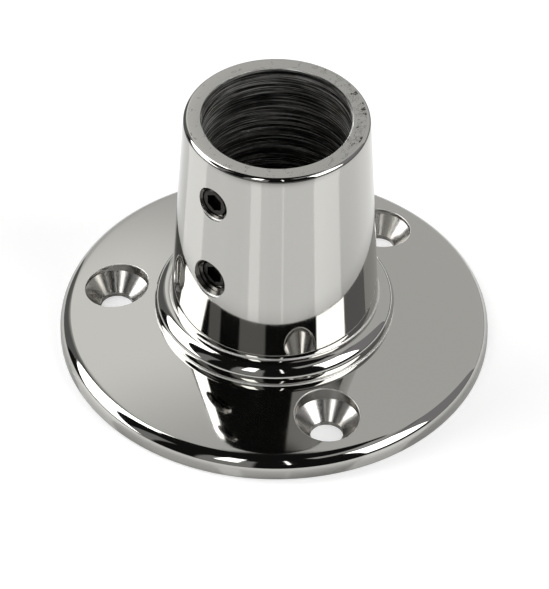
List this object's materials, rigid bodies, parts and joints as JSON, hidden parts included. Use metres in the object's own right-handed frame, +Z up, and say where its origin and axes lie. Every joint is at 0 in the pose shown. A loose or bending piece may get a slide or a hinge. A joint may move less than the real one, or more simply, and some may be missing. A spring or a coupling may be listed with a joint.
{
  "type": "round stanchion base",
  "caption": "Round polished stainless base that fastens to a deck with countersunk screws and clamps an upright 25.4 mm stanchion tube in its tapered socket with set screws.",
  "frame": {"origin": "centre of the flange's underside, on the deck, on the axis of the tube bore", "axes": "+Z up along the tube bore; the two set screws face -Y and lie midway between two of the deck screw holes; the third deck screw hole is at +Y"},
  "size_m": [0.075, 0.075, 0.0492],
  "materials": {
    "polished_flange": "mirror-polished stainless steel",
    "polished_collar": "mirror-polished stainless steel",
    "polished_socket": "mirror-polished stainless steel with a turned bore",
    "weld_metal": "as-welded stainless filler, lightly brushed",
    "set_screw_steel": "plain turned stainless steel"
  },
  "bodies": {
    "base": {"flange": "polished_flange", "collar_ring": "polished_collar", "socket": "polished_socket", "weld_seam": "weld_metal"},
    "upper_screw": {"upper_set_screw": "set_screw_steel"},
    "lower_screw": {"lower_set_screw": "set_screw_steel"}
  },
  "joints": [
    {"name": "upper_screw_travel", "type": "slide", "parent": "base", "child": "upper_screw", "axis": [0, -1, 0], "range_m": [-0.0005, 0.0025]},
    {"name": "lower_screw_travel", "type": "slide", "parent": "base", "child": "lower_screw", "axis": [0, -1, 0], "range_m": [-0.0005, 0.0035]}
  ]
}
